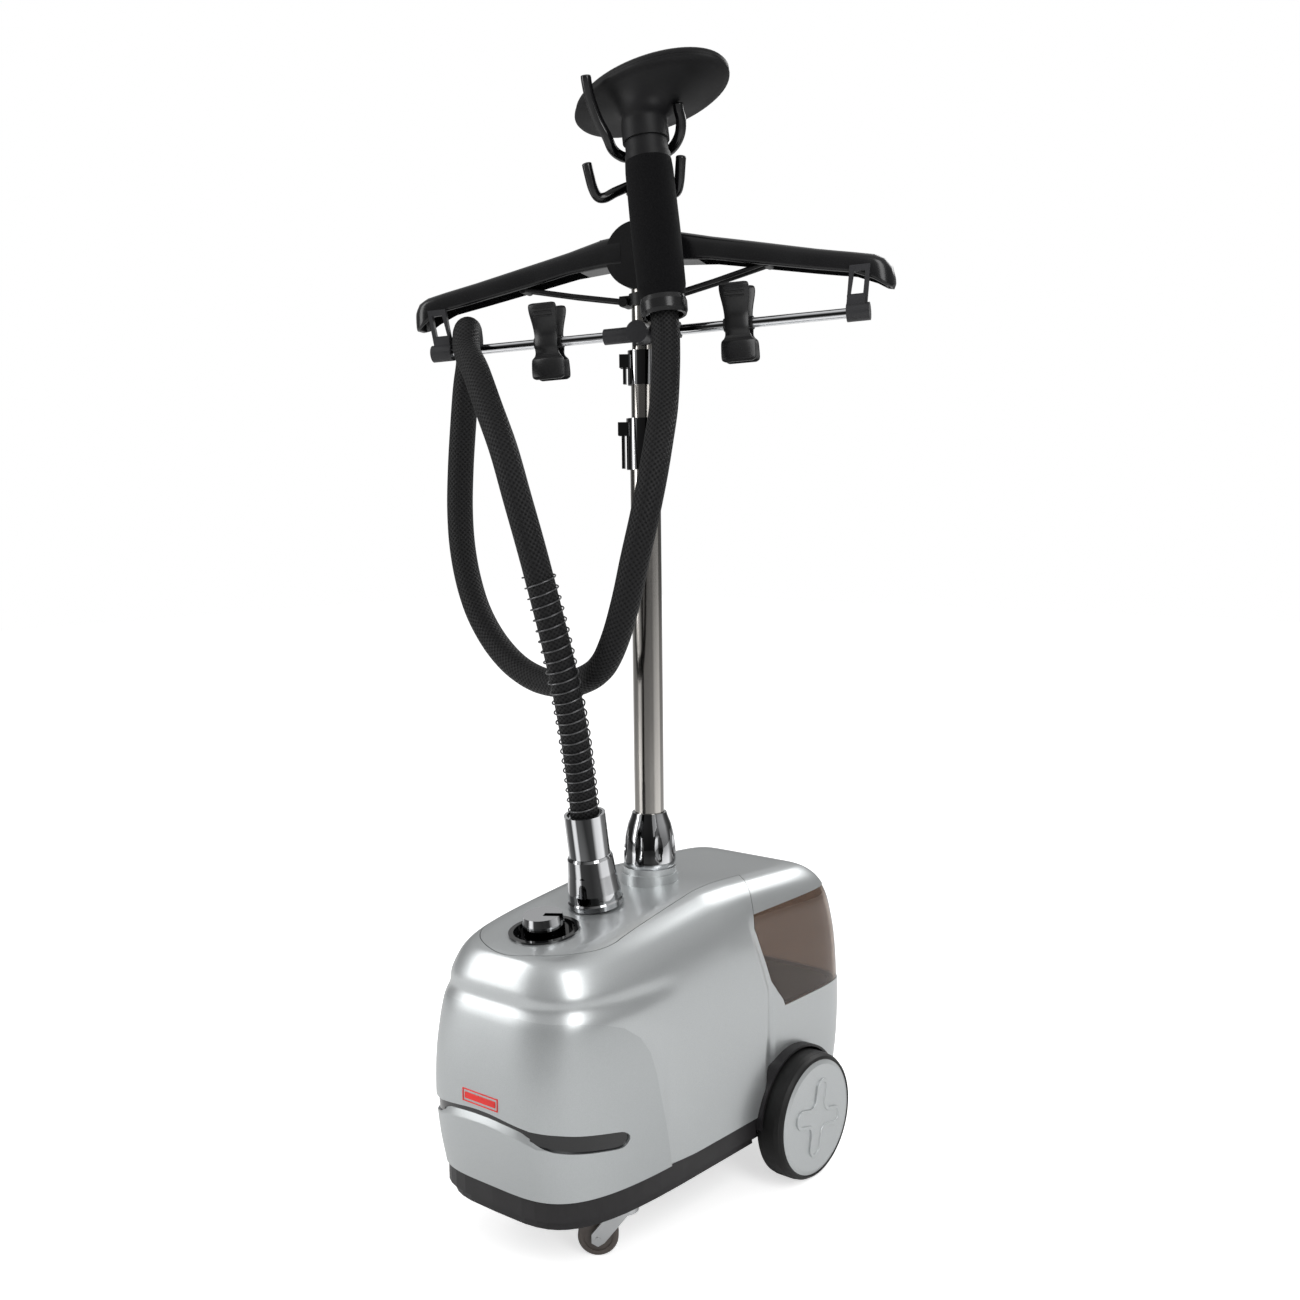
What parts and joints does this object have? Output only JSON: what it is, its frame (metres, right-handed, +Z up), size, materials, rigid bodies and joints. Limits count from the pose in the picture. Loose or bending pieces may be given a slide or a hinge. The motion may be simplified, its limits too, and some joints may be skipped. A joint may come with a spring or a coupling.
{
  "type": "garment steamer",
  "caption": "Upright garment steamer: wheeled boiler base with lift-out tank, telescopic mast, folding-arm hanger with trouser clips, and a steam hose to a hand-held head.",
  "frame": {"origin": "on the floor, straight below the axis of the mast", "axes": "+Z up along the mast, +X towards the right wheel, -Y towards the front with the steam knob"},
  "size_m": [0.3935, 0.3874, 0.9334],
  "materials": {
    "silver_shell": "satin silver lacquer over moulded plastic",
    "black_gloss": "polished black",
    "black_satin": "satin black",
    "chrome": "polished",
    "grey_plastic": "fine grain dark grey",
    "smoke_tank": "smoke tinted clear plastic",
    "badge_red": "polished",
    "tyre_rubber": "smooth",
    "caster_tread": "smooth",
    "plated_steel": "zinc plated",
    "cast_boiler": "as cast",
    "white_plastic": "as moulded",
    "foam_grip": "fine cell foam",
    "braid": "woven braid"
  },
  "bodies": {
    "base": {"base_tray": "black_gloss", "side_shell": "silver_shell", "front_cover": "silver_shell", "front_stripe": "black_gloss", "badge": "badge_red", "top_plate": "silver_shell", "tank_bay": "black_satin", "boiler": "cast_boiler", "heater_element": "cast_boiler", "steam_pipe": "white_plastic", "feed_pipe": "white_plastic", "control_switch": "white_plastic", "mains_gland": "black_gloss", "mast_collar": "silver_shell", "mast_nut": "chrome", "lower_tube": "chrome", "clamp_low": "chrome", "connector_cone": "chrome", "connector_sleeve": "chrome", "knob_dish": "black_gloss", "axle": "plated_steel", "caster_mounts": "plated_steel"},
    "tank": {"water_tank": "smoke_tank", "rear_lid": "silver_shell"},
    "tank_valve": {"tank_cap": "black_satin"},
    "knob": {"knob": "chrome"},
    "lower_lever": {"clamp_low_lever": "chrome"},
    "upper_lever": {"clamp_up_lever": "chrome"},
    "wheel_left": {"wheel_left_tyre": "tyre_rubber", "wheel_left_hub": "silver_shell"},
    "wheel_right": {"wheel_right_tyre": "tyre_rubber", "wheel_right_hub": "silver_shell"},
    "caster_left": {"caster_left_fork": "plated_steel"},
    "caster_left_roller": {"caster_left_wheel": "caster_tread"},
    "caster_right": {"caster_right_fork": "plated_steel"},
    "caster_right_roller": {"caster_right_wheel": "caster_tread"},
    "mid_stage": {"mid_tube": "chrome", "clamp_up": "chrome"},
    "mast_top": {"upper_tube": "chrome", "hanger_hub": "black_gloss", "arm_left": "black_gloss", "arm_right": "black_gloss", "runner": "black_satin", "struts": "black_satin", "bar_bracket": "grey_plastic", "trouser_bar": "chrome", "end_links": "grey_plastic", "coat_hooks": "black_satin", "cradle": "black_satin", "handle_collar": "black_satin", "handle_grip": "foam_grip", "handle_neck": "black_satin", "steam_head": "black_satin", "hose": "braid", "hose_spring": "plated_steel"},
    "clip_left": {"clip_left_back": "black_satin"},
    "clip_left_jaw": {"clip_left_front": "black_satin"},
    "clip_right": {"clip_right_back": "black_satin"},
    "clip_right_jaw": {"clip_right_front": "black_satin"}
  },
  "joints": [
    {"name": "mast_raise", "type": "slide", "parent": "base", "child": "mast_top", "axis": [0, 0, 1], "range_m": [0, 0.56]},
    {"name": "mid_raise", "type": "slide", "parent": "base", "child": "mid_stage", "axis": [0, 0, 1], "range_m": [0, 0.28]},
    {"name": "lower_lever_flip", "type": "hinge", "parent": "base", "child": "lower_lever", "pos_m": [-0.01556, -0.0109, 0.6465], "axis": [-0.5736, 0.8192, 0], "range_deg": [0, 95]},
    {"name": "upper_lever_flip", "type": "hinge", "parent": "mid_stage", "child": "upper_lever", "pos_m": [-0.01409, -0.00987, 0.7015], "axis": [-0.5736, 0.8192, 0], "range_deg": [0, 95]},
    {"name": "tank_lift", "type": "slide", "parent": "base", "child": "tank", "axis": [0, 0, 1], "range_m": [0, 0.15]},
    {"name": "tank_valve_turn", "type": "hinge", "parent": "tank", "child": "tank_valve", "pos_m": [0, 0.118, 0.152], "axis": [0, 0, 1], "range_deg": [0, 90]},
    {"name": "knob_turn", "type": "hinge", "parent": "base", "child": "knob", "pos_m": [0, -0.13, 0.2524], "axis": [0, -0.1191, 0.9929], "range_deg": [0, 270]},
    {"name": "wheel_left_spin", "type": "hinge", "parent": "base", "child": "wheel_left", "pos_m": [-0.1, 0.089, 0.0547], "axis": [1, 0, 0], "continuous": true},
    {"name": "wheel_right_spin", "type": "hinge", "parent": "base", "child": "wheel_right", "pos_m": [0.1, 0.089, 0.0547], "axis": [1, 0, 0], "continuous": true},
    {"name": "caster_left_swivel", "type": "hinge", "parent": "base", "child": "caster_left", "pos_m": [-0.062, -0.111, 0.038], "axis": [0, 0, 1], "continuous": true},
    {"name": "caster_left_roll", "type": "hinge", "parent": "caster_left", "child": "caster_left_roller", "pos_m": [-0.052, -0.09368, 0.016], "axis": [-0.866, 0.5, 0], "continuous": true},
    {"name": "caster_right_swivel", "type": "hinge", "parent": "base", "child": "caster_right", "pos_m": [0.062, -0.111, 0.038], "axis": [0, 0, 1], "continuous": true},
    {"name": "caster_right_roll", "type": "hinge", "parent": "caster_right", "child": "caster_right_roller", "pos_m": [0.04668, -0.12386, 0.016], "axis": [0.6428, -0.766, 0], "continuous": true},
    {"name": "clip_left_slide", "type": "slide", "parent": "mast_top", "child": "clip_left", "axis": [0.9123, 0.4062, 0.0523], "range_m": [-0.03, 0.024]},
    {"name": "clip_left_open", "type": "hinge", "parent": "clip_left", "child": "clip_left_jaw", "pos_m": [-0.06346, -0.04577, 0.7179], "axis": [-0.9123, -0.4062, -0.0523], "range_deg": [0, 20], "stiffness_Nm_per_rad": 0.08, "springref_deg": -17.19},
    {"name": "clip_right_slide", "type": "slide", "parent": "mast_top", "child": "clip_right", "axis": [0.9123, 0.4062, 0.0523], "range_m": [-0.02, 0.06]},
    {"name": "clip_right_open", "type": "hinge", "parent": "clip_right", "child": "clip_right_jaw", "pos_m": [0.0825, 0.01922, 0.72627], "axis": [-0.9123, -0.4062, -0.0523], "range_deg": [0, 20], "stiffness_Nm_per_rad": 0.08, "springref_deg": -17.19}
  ],
  "couplings": [
    {"joint": "mid_raise", "follows": "mast_raise", "ratio": 0.5}
  ]
}
